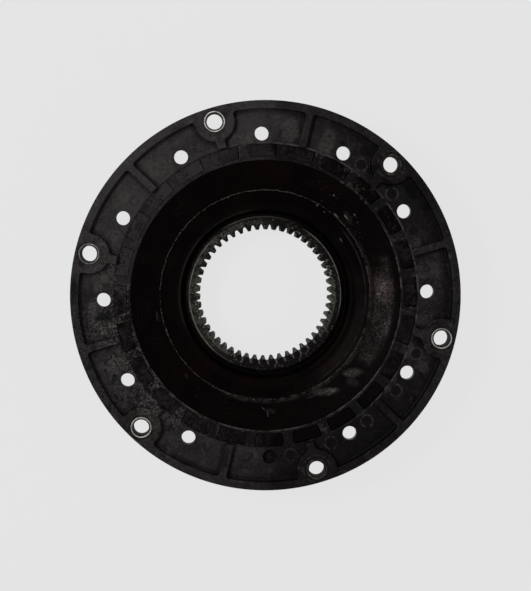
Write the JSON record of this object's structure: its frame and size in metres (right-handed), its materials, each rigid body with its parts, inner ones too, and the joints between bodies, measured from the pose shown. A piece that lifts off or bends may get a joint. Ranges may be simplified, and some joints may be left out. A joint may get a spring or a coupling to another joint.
{
  "type": "elastic coupling",
  "caption": "Elastic flywheel coupling: a round pocketed plastic flange with steel-bushed bolt holes, a bonded dished rubber element and an internally toothed ring at the centre.",
  "frame": {"origin": "on the coupling's axis, at the end face of the toothed ring, its lowest plane", "axes": "+Z along the axis, towards the pocketed front face of the flange; +X and +Y are to the right and up as the picture shows that face"},
  "size_m": [0.2634, 0.2634, 0.06],
  "materials": {
    "flange": "charcoal glass-filled polyamide, dusty at one side and darker with oil at the other",
    "bush": "zinc-plated steel, two of the pieces rusty brown",
    "rubber": "near-black moulded rubber, satin, with dust and scuffs",
    "ring": "olive-grey polyamide, used"
  },
  "bodies": {
    "root": {"flange": "flange", "bush_1": "bush", "bush_2": "bush", "bush_3": "bush", "bush_4": "bush", "bush_5": "bush", "bush_6": "bush", "rubber_element": "rubber", "toothed_ring": "ring"}
  },
  "joints": []
}
